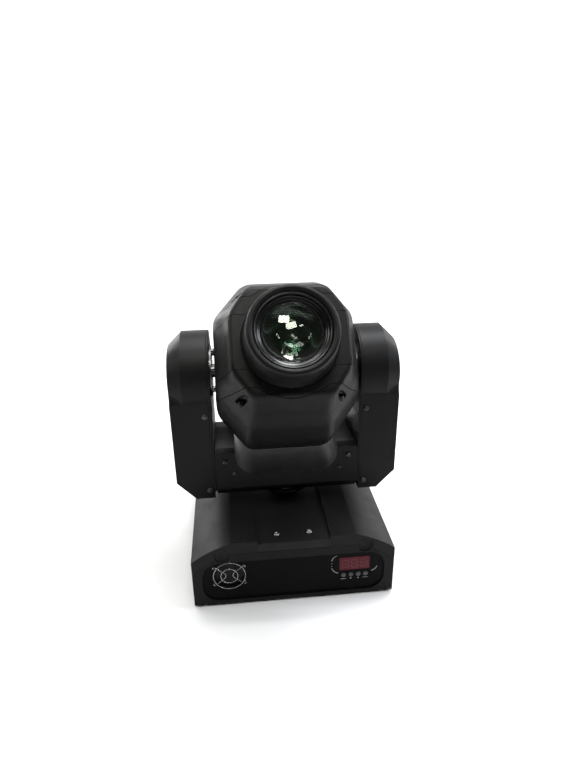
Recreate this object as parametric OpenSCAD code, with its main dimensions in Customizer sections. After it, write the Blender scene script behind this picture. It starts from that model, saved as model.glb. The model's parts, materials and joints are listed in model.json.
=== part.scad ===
// Moving head light: a flat base, a U-shaped yoke that pans on it and a
// lamp head that tilts between the yoke's arms.
// X is across, -Y is the front, Z is up. The origin is where the pan axis
// meets the underside of the bottom plate; the rubber feet reach below it.

/* [Base] */
// Width of the base
base_w = 250; // [246:1:256]
// Depth of the base
base_d = 246; // [244:1:252]
// Height of the straight side walls
side_h = 63; // [60:1:65]
// Height of the covers' flat top
cover_top = 88; // [86:1:89]
// Half width of the sunken deck between the covers
channel_half = 44; // [42:1:46]
// Wall thickness of moulded covers
wall = 3; // [2.5:0.5:3]
// Height of the rubber feet
foot_h = 6; // [5:1:10]

/* [Yoke] */
// Distance from the centre to the outer face of an arm
arm_outer = 142; // [142:1:148]
// Distance from the centre to the inner face of an arm
arm_inner = 91; // [90:1:92]
// Half depth of an arm's lower block
arm_half = 46; // [45:1:48]
// Height of the arms' lower edge
arm_bottom = 102; // [101:1:103]
// Radius of the round top of an arm
drum_r = 52; // [50:1:54]
// Height of the tilt axis
tilt_z = 261; // [260:1:264]
// Width of the chamfer round an arm's outer face
arm_chamfer = 17; // [15:1:20]
// Height of the middle of the yoke's bridge
bridge_top = 134; // [130:1:136]

/* [Head] */
// Angle of the lens above level, as modelled
rest_tilt = 35; // [30:1:40]
// Half width of the head
head_half_w = 85; // [83:1:86]
// Half height of the head
head_half_h = 102; // [98:1:102]
// Distance from the tilt axis to the front ring's edge
ring_front = 165; // [160:1:168]
// Outer radius of the front ring
ring_r = 48; // [46:1:49]
// Radius of the front lens
lens_r = 33; // [31:1:34]

/* [Drives] */
// Radius of the large pulley under the yoke
pan_pulley_r = 42; // [38:1:44]
// Radius of the pan motor's pulley
pan_drive_r = 8; // [7:1:9]
// Radius of the head's pulley
tilt_pulley_r = 24; // [22:1:26]
// Radius of the tilt motor's pulley
tilt_drive_r = 7; // [6:1:8]
// Radius of a hole for one bolt of the hanging bracket
bracket_hole_r = 4.25; // [4:0.25:5]
// Distance between the bracket holes across the base
bracket_pitch_x = 106; // [100:1:120]
// Distance between the bracket holes front to back
bracket_pitch_y = 106; // [100:1:120]

/* [Hidden] */
$fn = 64;
eps = 0.01;
over = 1;                                   // how far a cutter runs past a face

// Base levels and planes
half_w = base_w / 2;
front_y = -base_d / 2;
rear_y = base_d / 2;
shoulder_x = 75;                            // where the flat top turns into the shoulder
shoulder_r = 140;
deck_top = cover_top - 4;
deck_t = 3;
lip_h = 16;                                 // height of the covers' front and rear lips
panel_t = 5.5;
pocket_d = 2.5;                             // depth of the front panel's dark pocket
panel_back = front_y + panel_t;
pocket_y = front_y + pocket_d;
panel_top = cover_top - lip_h;
plate_t = 2;
bearing_z = 68;
pan_tube_r = 20;
pan_belt_z = 58;
pulley_h = 8;
pan_motor_y = 74;
motor_w = 42;

// Front panel features
fan_x = -80;
fan_z = 39;
fan_w = 40;
display_x = 75.5;
display_z = 42;
display_w = 38;
display_h = 19;
button_x = [61.9, 71.2, 80.5, 89.8];
button_z = 25;
button_r = 3;
cap_x = 88;
cap_z = 70;
cap_r = 8.5;

// Yoke
crease_z = 240;                             // where the block's front meets the drum
shoulder_z = 166;                           // top of the blocks at the foot of the arms
shoulder_in = 66;
fillet_r = 28;
head_swing_r = 100;
bridge_bottom = 101;
bridge_half = 48;
plate_x = arm_inner + 3;                    // inner side of the frame's upright plates
frame_t = 4;
frame_z = 107.2;                            // underside of the frame's bridge plate
bottom_chamfer = 24;
arm_screw_z = [114, 219];
hub_r = 32;
shaft_r = 10;
bearing_r = 19;
running = 0.05;                             // radial clearance of a running fit
belt_x = plate_x + 6.5;
belt_w = 7;
tilt_motor_z = tilt_z - 87;

head_face = 126;                            // plane of the front shell's face

// Head stations: distance along the lens axis, half width, half height and corner cuts
head_stations = [
    [-100, 58, 56, 22, 24], [-78, 77, 78, 34, 34], [-40, head_half_w, 98, 37, 45],
    [30, head_half_w, head_half_h, 37, 48], [66, 82, 90, 36, 44], [100, 70, 74, 28, 34],
    [head_face, 65, 61, 21, 31]];
head_rear_cut = -79;                        // where the rear grille starts

band_low = 30;                              // half height of the middle shell
band_high = 50;                             // half height up to the covers
collar_base_r = 54;
band_arc_r = 63;
bezel_r = 39.5;
wheel_offset = 30;                          // distance of a wheel's spindle from the lens axis
wheel_r = 41;

// ---------------------------------------------------------------- helpers

// Extrudes an outline drawn in X and Z from y0 to y1
module along_y(y0, y1) {
    translate([0, y1, 0]) rotate([90, 0, 0]) linear_extrude(y1 - y0) children();
}

// Extrudes an outline drawn in Y and Z from x0 to x1
module along_x(x0, x1) {
    translate([x0, 0, 0]) rotate([90, 0, 90]) linear_extrude(x1 - x0) children();
}

// A cylinder along Y between y0 and y1
module rod_y(r, y0, y1) {
    along_y(y0, y1) circle(r);
}

// A cylinder along X between x0 and x1
module rod_x(r, x0, x1) {
    along_x(x0, x1) circle(r);
}

// A box from its two opposite corners
module box(a, b) {
    translate(a) cube(b - a);
}

// Points on an arc of radius r from p to q, bulging to the left of the way from p to q
function arc_points(p, q, r, n = 8) =
    let (d = q - p,
        left = [-d[1], d[0]] / norm(d),
        c = (p + q) / 2 - left * sqrt(r * r - d * d / 4),
        a0 = atan2(p[1] - c[1], p[0] - c[0]),
        a1 = atan2(q[1] - c[1], q[0] - c[0]),
        turn = a1 - a0 > 180 ? a1 - a0 - 360 : a1 - a0 < -180 ? a1 - a0 + 360 : a1 - a0)
    [for (i = [0 : n]) c + r * [cos(a0 + turn * i / n), sin(a0 + turn * i / n)]];

// A rectangle with round corners, from corner a to corner b
module round_rect(a, b, r) {
    hull() for (x = [a[0] + r, b[0] - r], z = [a[1] + r, b[1] - r]) translate([x, z]) circle(r);
}

// Children in the head's own frame: -Y along the lens axis, +Z up, origin on the tilt axis
module in_head() {
    translate([0, 0, tilt_z]) rotate([-rest_tilt, 0, 0]) children();
}

// A belt round two pulleys, drawn in the plane of the pulleys
module belt_outline(r1, r2, gap, t, length) {
    difference() {
        hull() {
            circle(r1 + gap + t);
            translate([0, length]) circle(r2 + gap + t);
        }
        hull() {
            circle(r1 + gap);
            translate([0, length]) circle(r2 + gap);
        }
    }
}

// A stepper motor standing on Z: its face at z = 0, its body below
module stepper(w, h, shaft_bore) {
    difference() {
        translate([0, 0, -h]) linear_extrude(h) intersection() {
            square(w, center = true);
            circle(w * 0.64);
        }
        translate([0, 0, -h / 2]) cylinder(r = shaft_bore, h = h);
    }
}

// ---------------------------------------------------------------- base

// Outer line of the right-hand cover, from the channel to the floor, lowered by drop
function cover_line(inset, drop) = concat(
    [[channel_half, cover_top - inset - drop]],
    arc_points([shoulder_x, cover_top - inset - drop], [half_w - inset, side_h - inset / 2 - drop],
        shoulder_r));

module cover_outline(inset = 0, drop = 0) {
    polygon(concat(cover_line(inset, drop), [[half_w - inset, -inset], [channel_half, -inset]]));
}

module base_cover() {
    difference() {
        along_y(panel_back, rear_y - 4) difference() {
            cover_outline();
            difference() {
                cover_outline(wall);
                translate([channel_half - over, deck_top]) square([wall + over, cover_top]);
            }
        }
        box([channel_half - over, front_y, -over], [channel_half + wall + eps, rear_y, deck_top]);
    }
    // front and rear lips
    for (y = [[front_y, panel_back + eps], [rear_y - 4 - eps, rear_y]])
        along_y(y[0], y[1]) difference() {
            cover_outline();
            cover_outline(0, lip_h);
            translate([half_w - eps, -over]) square([1, side_h - lip_h + over]);
        }
}

module cap_cutters() {
    for (s = [-1, 1]) translate([s * cap_x, 0, cap_z]) rod_y(cap_r + 0.1, front_y - over, pocket_y);
}

module right_base_cover() {
    color("#1c1d20") difference() {
        base_cover();
        cap_cutters();
    }
}

module left_base_cover() {
    color("#1c1d20") difference() {
        mirror([1, 0, 0]) base_cover();
        cap_cutters();
    }
}

module bottom_plate() {
    inner_x = half_w - wall - 0.2;
    flange_h = 14;
    color("#26272a") difference() {
        union() {
            box([-inner_x, panel_back + 0.2, 0], [inner_x, rear_y - 4.2, plate_t]);
            for (s = [-1, 1])
                translate([s * (inner_x - plate_t / 2) - plate_t / 2, panel_back + 0.2, 0])
                    cube([plate_t, base_d - panel_t - 4.4, flange_h]);
        }
        for (x = [-1, 1], y = [-1, 1])
            translate([x * bracket_pitch_x / 2, y * bracket_pitch_y / 2, -over])
                cylinder(r = bracket_hole_r, h = plate_t + 2 * over);
    }
}

module rubber_feet() {
    foot_x = 102;
    foot_y = 96;
    color("#141414") for (x = [-foot_x, foot_x], y = [-foot_y, foot_y]) translate([x, y, -foot_h])
        difference() {
            cylinder(r1 = 11, r2 = 13, h = foot_h);
            translate([0, 0, -over]) cylinder(r = 5, h = foot_h - 2 + over);
        }
}

module deck_plate() {
    under = channel_half + 7;
    color("#17181a") difference() {
        union() {
            box([-under, panel_back + 0.2, deck_top - deck_t], [under, rear_y - 4.2, deck_top]);
            box([-channel_half + 0.1, front_y, deck_top - deck_t],
                [channel_half - 0.1, rear_y, deck_top]);
            box([-channel_half + 0.1, front_y, panel_top + 0.2],
                [channel_half - 0.1, front_y + deck_t, deck_top]);
            box([-channel_half + 0.1, rear_y - deck_t, panel_top + 0.2],
                [channel_half - 0.1, rear_y, deck_top]);
        }
        translate([0, 0, deck_top - deck_t - over]) cylinder(r = pan_tube_r + 1.5, h = deck_t + 2 * over);
        for (s = [-1, 1], x = [-20, 20]) translate([x, s * 107, deck_top - deck_t - over])
            cylinder(r = 2.2, h = deck_t + 2 * over);
    }
}

module deck_screws() {
    color("#b9bcc0") for (s = [-1, 1], x = [-20, 20]) translate([x, s * 107, 0]) difference() {
        union() {
            translate([0, 0, deck_top]) cylinder(r1 = 4, r2 = 2.6, h = 1.8);
            translate([0, 0, deck_top - 7]) cylinder(r = 2, h = 7 + eps);
        }
        for (a = [0, 90]) rotate(a) box([-1.8, -0.4, deck_top + 0.8], [1.8, 0.4, deck_top + 3]);
    }
}

// Outline of the front and rear panels under the covers' lips
module panel_outline() {
    for (s = [0, 1]) mirror([s, 0]) polygon(concat(
        [[-eps, 0], [-eps, panel_top]],
        arc_points([shoulder_x, panel_top], [half_w, side_h - lip_h], shoulder_r),
        [[half_w, 0]]));
}

module front_panel() {
    lozenge_x = 113;
    color("#222326") difference() {
        along_y(front_y, panel_back) difference() {
            panel_outline();
            translate([fan_x, fan_z]) circle(19);
            translate([display_x - display_w / 2 - 0.3, display_z - display_h / 2 - 0.3])
                square([display_w + 0.6, display_h + 0.6]);
            for (x = button_x) translate([x, button_z]) circle(button_r + 0.35);
        }
        along_y(front_y - over, pocket_y) round_rect([-lozenge_x, 1.5], [lozenge_x, 60], 22);
        cap_cutters();
    }
}

module corner_caps() {
    color("#0c0c0d") for (s = [-1, 1]) translate([s * cap_x, 0, cap_z]) union() {
        rod_y(cap_r, pocket_y - 4, pocket_y);
        translate([0, pocket_y - 4, 0]) rotate([90, 0, 0]) cylinder(r1 = cap_r, r2 = cap_r - 2, h = 1.5);
    }
}

module display_window() {
    color("#8c1016") box([display_x - display_w / 2, pocket_y - 0.6, display_z - display_h / 2],
        [display_x + display_w / 2, panel_back - 0.5, display_z + display_h / 2]);
}

module display_board() {
    board_y = panel_back + 4;
    color("#1d5a34") union() {
        box([48, board_y, 16], [106, board_y + 1.6, 62]);
        // the digit module behind the window
        box([display_x - display_w / 2 + 1, panel_back + 0.2, display_z - display_h / 2 + 1],
            [display_x + display_w / 2 - 1, board_y + eps, display_z + display_h / 2 - 1]);
    }
}

// One sprung push button in its place along the row
module button(i) {
    translate([button_x[i], 0, button_z]) union() {
        rod_y(button_r, pocket_y - 1.6, panel_back + 0.6);
        rod_y(button_r + 1.2, panel_back + 0.5, panel_back + 1.5);
        rod_y(1.4, panel_back + 1.4, panel_back + 3);
    }
}

module menu_button() { color("#8b8e92") button(0); }
module down_button() { color("#8b8e92") button(1); }
module up_button() { color("#8b8e92") button(2); }
module enter_button() { color("#8b8e92") button(3); }

module fan_guard() {
    ring_wire = 0.8;
    leg_wire = 0.65;
    leg_start = 4.4;
    color("#d5d7da") translate([fan_x, pocket_y, fan_z]) rotate([90, 0, 0]) union() {
        for (r = [9, 19.5]) rotate_extrude() translate([r, leg_wire + 0.9]) circle(ring_wire);
        for (a = [0, 180], s = [-1, 1]) rotate(a) translate([leg_start, 0, leg_wire]) rotate(s * 52)
            rotate([0, 90, 0]) cylinder(r = leg_wire, h = 16.2);
    }
}

// Outline of a fan's frame: a square with a round opening and four screw holes
module fan_outline(w, hole_r) {
    difference() {
        square(w, center = true);
        circle(hole_r);
        for (x = [-1, 1], y = [-1, 1]) translate([x * w * 0.4, y * w * 0.4]) circle(w * 0.045);
    }
}

// A square axial fan's frame, its axis on Z, its front at z = 0, its struts at the back
module fan_frame(w, t, hole_r, hub) {
    union() {
        linear_extrude(t - 2) fan_outline(w, hole_r);
        translate([0, 0, t - 2]) linear_extrude(2) difference() {
            union() {
                fan_outline(w, hole_r);
                circle(hub);
                for (a = [0, 120, 240]) rotate(a) translate([0, -1.2]) square([hole_r + 0.6, 2.4]);
            }
            circle(1.5 + running);
        }
    }
}

// The fan's rotor: a hub and pitched blades
module fan_rotor(tip_r, hub, t, blades) {
    union() {
        cylinder(r = hub, h = t);
        cylinder(r = 1.5, h = t + 2.2);
        intersection() {
            for (i = [0 : blades - 1]) rotate(i * 360 / blades) translate([hub - 1, 0, t / 2])
                rotate([38, 0, 0]) translate([0, -t * 0.55, -0.6]) cube([tip_r, t * 1.1, 1.2]);
            translate([0, 0, 0.3]) cylinder(r = tip_r, h = t - 0.6);
        }
    }
}

module base_fan_frame() {
    color("#101011") translate([fan_x, panel_back + 0.2, fan_z]) rotate([-90, 0, 0])
        fan_frame(fan_w, 10, 18.5, 9);
}

module base_fan_rotor() {
    color("#1b1b1d") translate([fan_x, panel_back + 0.8, fan_z]) rotate([-90, 0, 0])
        fan_rotor(17.6, 8.5, 6.8, 7);
}

module rear_panel() {
    color("#222326") along_y(rear_y - 3, rear_y) difference() {
        panel_outline();
        translate([-85, 38]) square([28.4, 20.4], center = true);
        for (x = [25, 65]) translate([x, 38]) circle(11.2);
    }
}

module power_inlet() {
    color("#0e0e0f") translate([-85, 0, 38]) difference() {
        union() {
            box([-24.5, rear_y, -13], [24.5, rear_y + 2.5, 13]);
            box([-14, rear_y - 20, -10], [14, rear_y + eps, 10]);
        }
        box([-11.5, rear_y - 13, -7.5], [11.5, rear_y + 4, 7.5]);
        for (x = [-20, 20]) translate([x, 0, 0]) rod_y(1.6, rear_y - over, rear_y + 4);
    }
}

module data_sockets() {
    color("#3a3c40") for (x = [25, 65]) translate([x, 0, 38]) difference() {
        union() {
            box([-13, rear_y, -15.5], [13, rear_y + 2, 15.5]);
            rod_y(11, rear_y - 16, rear_y + eps);
        }
        rod_y(8.6, rear_y - 12, rear_y + 3);
        for (s = [-1, 1]) translate([s * 9.5, 0, s * 12]) rod_y(1.4, rear_y - over, rear_y + 3);
    }
}

module power_supply() {
    color("#9a9da1") difference() {
        box([38, -66, plate_t + 4], [112, 66, 50]);
        for (i = [-5 : 5]) box([36, i * 10 - 2, 16], [39.5, i * 10 + 2, 40]);
    }
}

module pan_bearing() {
    color("#9fa3a8") translate([0, 0, bearing_z]) difference() {
        cylinder(r = 32, h = deck_top - deck_t - bearing_z);
        translate([0, 0, -over]) cylinder(r = pan_tube_r + running, h = 30);
    }
}

module pan_motor() {
    legs_top = pan_belt_z - 4;
    body_h = 34;
    color("#2f3134") translate([0, pan_motor_y, 0]) union() {
        translate([0, 0, legs_top]) stepper(motor_w, body_h, 2.5 + running);
        for (x = [-1, 1], y = [-1, 1]) translate([x * 15.5, y * 15.5, plate_t])
            cylinder(r = 3, h = legs_top - body_h - plate_t + eps);
    }
}

module pan_motor_pulley() {
    color("#c9b458") translate([0, pan_motor_y, 0]) union() {
        translate([0, 0, pan_belt_z]) cylinder(r = pan_drive_r, h = pulley_h);
        for (z = [pan_belt_z - 1.5, pan_belt_z + pulley_h])
            translate([0, 0, z]) cylinder(r = pan_drive_r + 1.6, h = 1.5);
        translate([0, 0, pan_belt_z - 14]) cylinder(r = 2.5, h = 14);
    }
}

module pan_belt() {
    color("#0a0a0a") translate([0, 0, pan_belt_z + 0.6]) linear_extrude(pulley_h - 1.2)
        belt_outline(pan_pulley_r, pan_drive_r, 0.35, 1.3, pan_motor_y);
}

// ---------------------------------------------------------------- yoke

module pan_tube() {
    color("#8d9094") difference() {
        union() {
            translate([0, 0, pan_belt_z - 2]) cylinder(r = pan_tube_r, h = frame_z - pan_belt_z + 2);
            translate([0, 0, 99]) cylinder(r = 36, h = frame_z - 99);
        }
        translate([0, 0, pan_belt_z - 3]) cylinder(r = 14, h = 60);
    }
}

module pan_pulley() {
    color("#c9b458") difference() {
        union() {
            translate([0, 0, pan_belt_z]) cylinder(r = pan_pulley_r, h = pulley_h);
            for (z = [pan_belt_z - 1.5, pan_belt_z + pulley_h])
                translate([0, 0, z]) cylinder(r = pan_pulley_r + 2, h = 1.5);
        }
        translate([0, 0, pan_belt_z - 3]) cylinder(r = pan_tube_r, h = pulley_h + 6);
        for (a = [0 : 60 : 300]) rotate(a) translate([31, 0, pan_belt_z - 3])
            cylinder(r = 6, h = pulley_h + 6);
    }
}

module yoke_frame() {
    color("#6f7276") difference() {
        union() {
            box([-plate_x - frame_t, -31, frame_z], [plate_x + frame_t, 31, frame_z + frame_t]);
            for (s = [0, 1]) mirror([s, 0, 0]) along_x(plate_x, plate_x + frame_t) union() {
                translate([-40, frame_z]) square([80, tilt_z - frame_z]);
                translate([0, tilt_z]) circle(40);
            }
        }
        translate([0, 0, 100]) cylinder(r = 14, h = 20);
        translate([0, 0, tilt_z]) rod_x(bearing_r, -120, 120);
        for (s = [-1, 1], z = [140, 200])
            translate([s * (plate_x + frame_t / 2), 0, z]) rod_x(9, -5, 5);
    }
}

// The line across the U of the yoke, from an arm over its shoulder down to the bridge.
// A wall above zero gives the hollow under it, which runs on through the ends.
function bridge_line(inset) =
    let (end = inset > 0 ? arm_inner + over : arm_inner,
        top = inset > 0 ? shoulder_z - 8 : shoulder_z,
        r = fillet_r + inset)
    concat([[end, bridge_bottom + inset], [end, top], [shoulder_in + inset, top]],
        [for (a = [0 : 10 : 90]) [shoulder_in - fillet_r + r * cos(a),
            bridge_top + fillet_r - r * sin(a)]]);

module bridge_outline(inset = 0) {
    for (s = [0, 1]) mirror([s, 0]) polygon(concat([[-eps, bridge_bottom + inset]],
        bridge_line(inset), [[-eps, bridge_top - inset]]));
}

// The front half of the bridge's cover: a shell, open at the middle of the yoke
module bridge_cover() {
    difference() {
        intersection() {
            along_y(-bridge_half, -0.1) bridge_outline();
            // the front leans back towards the top and turns under at the bottom
            along_x(-arm_inner - over, arm_inner + over) polygon(concat([[0, 90], [-32, 98]],
                arc_points([-bridge_half, 116], [-bridge_half + 3, 172], 300), [[0, 176]]));
        }
        difference() {
            along_y(-bridge_half + 2 * wall, over) bridge_outline(wall);
            // the wall under the front edge
            along_x(-arm_inner - 2, arm_inner + 2)
                polygon([[-60, 90], [-29, 90], [-29, 104], [-42, 118], [-60, 118]]);
        }
        // room for the head to swing
        translate([0, 0, tilt_z]) rod_x(head_swing_r, -arm_inner - over, arm_inner + over);
        // room for the flange of the pan tube
        translate([0, 0, 90]) cylinder(r = 37, h = 18);
    }
}

module front_bridge_cover() {
    color("#1b1c1f") bridge_cover();
}

module rear_bridge_cover() {
    color("#1b1c1f") mirror([0, 1, 0]) bridge_cover();
}

// Side outline of an arm: a straight block and a round top that stands proud of it
module arm_outline() {
    translate([0, tilt_z]) circle(drum_r);
    translate([-arm_half, arm_bottom]) square([2 * arm_half, crease_z - arm_bottom]);
}

// Solid of an arm's cover between x0 and x1: bevelled drum, square block, slanting underside
module arm_block(x0, x1, inset) {
    half = arm_half - inset;
    low = arm_bottom + inset;
    r = drum_r - inset;
    difference() {
        union() {
            translate([0, 0, tilt_z]) rotate([0, 90, 0]) rotate_extrude() polygon(
                [[0, x0], [r, x0], [r, x1 - arm_chamfer], [r - arm_chamfer, x1], [0, x1]]);
            box([x0, -half, low], [x1 - arm_chamfer, half, crease_z]);
            box([x0, -half, low], [x1, half, crease_z - 6 - inset]);
        }
        along_y(-arm_half - over, arm_half + over)
            polygon([[x1 - bottom_chamfer, low], [x1 + over, low + bottom_chamfer + over],
                [x1 + over, low - over], [x1 - bottom_chamfer - over, low - over]]);
    }
}

module arm_cover() {
    difference() {
        arm_block(arm_inner + 2.6, arm_outer, 0);
        arm_block(arm_inner - over, arm_outer - wall, wall);
        for (z = arm_screw_z, s = [-1, 1]) translate([100, 0, z])
            rod_y(1.9, s > 0 ? arm_half - 6 : -arm_half - over, s > 0 ? arm_half + over : -arm_half + 6);
    }
}

module right_arm_cover() {
    color("#1e1f22") arm_cover();
}

module left_arm_cover() {
    color("#1e1f22") mirror([1, 0, 0]) arm_cover();
}

// Flat cover on the side of an arm that faces the head
module inner_cover() {
    along_x(arm_inner, arm_inner + 2.5) difference() {
        arm_outline();
        translate([0, tilt_z]) circle(hub_r + 2);
        translate([-arm_half - over, arm_bottom - over]) square([2 * arm_half + 2, 11]);
    }
}

module right_inner_cover() {
    color("#17181a") inner_cover();
}

module left_inner_cover() {
    color("#17181a") mirror([1, 0, 0]) inner_cover();
}

module arm_screws() {
    color("#a9acb0") for (x = [-100, 100], z = arm_screw_z, s = [0, 1])
        mirror([0, s, 0]) translate([x, 0, z]) difference() {
            union() {
                translate([0, -arm_half, 0]) rotate([90, 0, 0]) cylinder(r1 = 3.6, r2 = 2.4, h = 1.6);
                rod_y(1.8, -arm_half - eps, -arm_half + 8);
            }
            for (a = [0, 90]) rotate([0, a, 0])
                box([-1.6, -arm_half - 3, -0.35], [1.6, -arm_half - 0.8, 0.35]);
        }
}

module tilt_motor() {
    face_x = belt_x + belt_w + 2;
    color("#2f3134") translate([0, 0, tilt_motor_z]) union() {
        translate([face_x, 0, 0]) rotate([0, -90, 0]) stepper(motor_w, 26, 2.5 + running);
        for (y = [-1, 1], z = [-1, 1]) translate([0, y * 16.5, z * 16.5])
            rod_x(2.6, plate_x + frame_t, face_x + eps);
    }
}

module tilt_motor_pulley() {
    color("#c9b458") translate([0, 0, tilt_motor_z]) union() {
        rod_x(tilt_drive_r, belt_x, belt_x + belt_w);
        rod_x(tilt_drive_r + 1.4, belt_x - 1.2, belt_x);
        rod_x(2.5, belt_x + belt_w - eps, belt_x + belt_w + 12);
    }
}

module tilt_belt() {
    color("#0a0a0a") translate([0, 0, tilt_motor_z]) along_x(belt_x + 0.5, belt_x + belt_w - 0.5)
        belt_outline(tilt_drive_r, tilt_pulley_r, 0.35, 1.3, tilt_z - tilt_motor_z);
}

module tilt_bearings() {
    color("#b4b7bb") for (s = [0, 1]) mirror([s, 0, 0]) translate([0, 0, tilt_z]) difference() {
        rod_x(bearing_r, plate_x, plate_x + 5);
        rod_x(shaft_r + running, plate_x - over, plate_x + 6);
    }
}

// ---------------------------------------------------------------- head

function octagon(w, h, cx, cz) = [for (sx = [1, -1], sz = sx > 0 ? [-1, 1] : [1, -1],
    p = sx * sz > 0 ? [[w, h - cz], [w - cx, h]] : [[w - cx, h], [w, h - cz]]) [sx * p[0], sz * p[1]]];

// The head's outer solid, or the hollow in it when inset is the wall
module head_solid(inset = 0) {
    hull() for (s = head_stations) {
        at = s[0] > 110 ? s[0] - inset : s[0] < -90 ? s[0] + inset : s[0];
        along_y(-at, -at + eps) polygon(octagon(s[1] - inset, s[2] - inset, s[3], s[4]));
    }
}

module head_shell() {
    difference() {
        head_solid();
        head_solid(wall);
    }
}

// Slab of the head between two half heights, with the arc round the front ring
module head_zone(half_h, arc_r) {
    box([-90, -head_face - over, -half_h], [90, -head_rear_cut, half_h]);
    rod_y(arc_r, -head_face - over, -90);
}

module front_ring() {
    rotate([90, 0, 0]) rotate_extrude($fn = 96) polygon(concat(
        [[bezel_r + 0.3, head_face - wall], [collar_base_r, head_face - wall],
            [collar_base_r, head_face], [collar_base_r - 3.5, head_face + 12],
            [ring_r + 0.5, ring_front - 9]],
        [for (a = [0 : 30 : 180])
            [(ring_r + bezel_r + 2) / 2 + 3.2 * cos(a), ring_front - 3.2 + 3.2 * sin(a)]],
        [[bezel_r + 1.2, ring_front - 8], [bezel_r + 0.3, ring_front - 12]]));
}

module head_front_shell() {
    color("#232427") in_head() union() {
        difference() {
            intersection() {
                head_shell();
                head_zone(band_low, collar_base_r);
            }
            rod_y(bezel_r + 0.3, -head_face - over, -90);
            rod_x(6, -90, 90);
        }
        front_ring();
    }
}

module head_bands() {
    color("#2a2b2f") in_head() difference() {
        intersection() {
            head_shell();
            head_zone(band_high, band_arc_r);
        }
        head_zone(band_low, collar_base_r);
    }
}

// The cover under the head; the one above it is its mirror image
module head_cover() {
    difference() {
        intersection() {
            head_shell();
            box([-90, -head_face - over, -110], [90, -head_rear_cut, 0]);
        }
        head_zone(band_high, band_arc_r);
    }
}

module head_lower_cover() {
    color("#1d1e21") in_head() head_cover();
}

module head_upper_cover() {
    color("#1d1e21") in_head() mirror([0, 0, 1]) head_cover();
}

module head_rear_grille() {
    color("#1d1e21") in_head() difference() {
        head_shell();
        box([-90, -head_face - over, -110], [90, -head_rear_cut, 110]);
        for (i = [-5 : 5]) translate([0, 0, i * 7.5])
            box([-34, 90, -1.8], [34, 104, 1.8]);
    }
}

// Flange, stand-offs and hollow shaft that carry one side of the head
module tilt_hub(shaft_end) {
    side = head_half_w;
    difference() {
        union() {
            rod_x(hub_r, plate_x - 5, plate_x - 1.5);
            for (a = [10 : 60 : 310]) rotate([a, 0, 0]) translate([0, 27, 0])
                rod_x(3.4, side, plate_x - 5 + eps);
            rod_x(8.5, side, plate_x - 5 + eps);
            rod_x(shaft_r, plate_x - 2, shaft_end);
        }
        rod_x(6, side - over, shaft_end + over);
    }
}

module right_tilt_hub() {
    color("#86898d") in_head() tilt_hub(belt_x + belt_w + 3);
}

module left_tilt_hub() {
    color("#86898d") in_head() mirror([1, 0, 0]) tilt_hub(plate_x + 11);
}

module tilt_pulley() {
    color("#c9b458") in_head() difference() {
        union() {
            rod_x(tilt_pulley_r, belt_x, belt_x + belt_w);
            rod_x(tilt_pulley_r + 1.6, belt_x + belt_w, belt_x + belt_w + 1.2);
        }
        rod_x(shaft_r, belt_x - over, belt_x + belt_w + 3);
        for (a = [0 : 72 : 288]) rotate([a, 0, 0]) translate([0, 17, 0])
            rod_x(3.5, belt_x - over, belt_x + belt_w + 3);
    }
}

module lens_bezel() {
    color("#17181a") in_head() rotate([90, 0, 0]) rotate_extrude($fn = 96) polygon([
        [lens_r - 1.5, ring_front - 6], [lens_r + 2, ring_front - 3], [bezel_r - 1, ring_front - 3],
        [bezel_r, ring_front - 5], [bezel_r, ring_front - 30], [bezel_r - 3, ring_front - 30],
        [bezel_r - 3, ring_front - 17], [lens_r + 0.5, ring_front - 17], [lens_r + 0.5, ring_front - 7.5],
        [lens_r - 1.5, ring_front - 7.5]]);
}

module front_lens() {
    color("#9fb8c8", 0.5) in_head() rotate([90, 0, 0]) intersection() {
        translate([0, 0, ring_front - 15]) cylinder(r = lens_r, h = 7.4);
        translate([0, 0, ring_front - 8 - 90]) sphere(r = 90, $fn = 96);
    }
}

module guide_rods() {
    color("#c4c7ca") in_head() for (s = [-1, 1]) translate([s * 40, 0, 0]) rod_y(3, -head_face + wall, -24);
}

// Wall for the optics, side plates for the hubs and bars that hold the heat sink
module head_chassis() {
    side = head_half_w - wall;
    color("#7c7f83") in_head() difference() {
        union() {
            box([-62, -24, -70], [62, -22, 70]);
            for (s = [0, 1]) mirror([s, 0, 0]) union() {
                box([side - 2.5, -24, -26], [side - 0.1, 38, 26]);
                box([60, -24, -26], [side - 1, -22, 26]);
                box([42, 22, -8], [side - 1, 25, 8]);
            }
        }
        rod_y(15, -30, -10);
        rod_x(6, -90, 90);
        for (s = [-1, 1]) translate([0, 0, s * wheel_offset]) rod_y(4, -30, -10);
    }
}

module wheel_motors() {
    color("#2f3134") in_head() for (s = [-1, 1]) translate([0, 0, s * wheel_offset]) difference() {
        rod_y(13, -22, -4);
        rod_y(2.5 + running, -23, -8);
    }
}

// A wheel of round apertures on its spindle, between two distances along the lens axis
module wheel(f0, f1, count, hole_r) {
    difference() {
        union() {
            rod_y(wheel_r, -f1, -f0);
            rod_y(5, -f1 - 1.5, -f0 + 0.5);
            rod_y(2.5, -f0, -10);
        }
        for (i = [0 : count - 1]) rotate([0, i * 360 / count + 90, 0]) translate([wheel_offset, 0, 0])
            rod_y(hole_r, -f1 - over, -f0 + over);
    }
}

module colour_wheel() {
    color("#b5b8bc") in_head() translate([0, 0, wheel_offset]) wheel(28, 29.5, 8, 9.5);
}

module gobo_wheel() {
    color("#8f9296") in_head() translate([0, 0, -wheel_offset]) wheel(34, 36, 8, 9);
}

module focus_carriage() {
    color("#2b2d30") in_head() difference() {
        union() {
            rod_y(29, -84, -76);
            box([-46, -84, -7], [46, -76, 7]);
        }
        rod_y(24, -82, -70);
        rod_y(21, -86, -70);
        for (s = [-1, 1]) translate([s * 40, 0, 0]) rod_y(3 + running, -86, -70);
    }
}

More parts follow.
